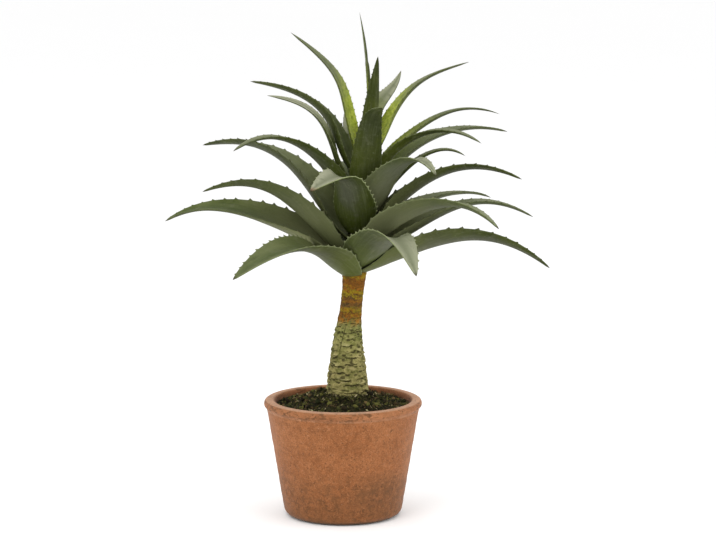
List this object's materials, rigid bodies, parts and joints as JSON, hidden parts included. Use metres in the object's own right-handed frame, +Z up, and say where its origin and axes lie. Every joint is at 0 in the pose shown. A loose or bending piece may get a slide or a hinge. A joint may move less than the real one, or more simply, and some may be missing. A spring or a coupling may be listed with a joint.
{
  "type": "potted agave",
  "caption": "Live succulent with a bare scarred trunk and a crown of arching toothed channelled leaves, planted in a tapered terracotta pot with a thick round rim.",
  "frame": {"origin": "centre of the pot's flat underside", "axes": "+Z up the trunk; -Y is the front of the plant"},
  "size_m": [0.4843, 0.3572, 0.634],
  "materials": {
    "terracotta": "unglazed, matt, mottled",
    "soil": "loose, crumbly, damp, with moss and bark bits",
    "bark": "rough, with overlapping scars of fallen leaves",
    "leaf": "waxy, satin, with a grey bloom on the undersides"
  },
  "bodies": {
    "root": {"pot": "terracotta", "soil": "soil", "trunk": "bark", "low_leaf_front_left": "leaf", "low_leaf_right": "leaf", "low_leaf_back": "leaf", "low_leaf_front_right": "leaf", "low_leaf_left": "leaf", "lower_leaf_back_left": "leaf", "lower_leaf_right": "leaf", "lower_leaf_front_right": "leaf", "lower_leaf_left": "leaf", "lower_leaf_front": "leaf", "lower_leaf_back_right": "leaf", "middle_leaf_right": "leaf", "middle_leaf_left": "leaf", "middle_leaf_back": "leaf", "middle_leaf_front_right": "leaf", "middle_leaf_right_2": "leaf", "middle_leaf_back_right": "leaf", "middle_leaf_back_left": "leaf", "middle_leaf_left_2": "leaf", "middle_leaf_back_2": "leaf", "upper_leaf_front": "leaf", "upper_leaf_right": "leaf", "upper_leaf_back": "leaf", "upper_leaf_back_right": "leaf", "upper_leaf_left": "leaf", "upper_leaf_left_2": "leaf", "upper_leaf_right_2": "leaf", "top_leaf_right": "leaf", "top_leaf_left": "leaf", "top_leaf_back": "leaf", "top_leaf_back_left": "leaf", "spear_leaf_right": "leaf", "spear_leaf_centre": "leaf"}
  },
  "joints": []
}
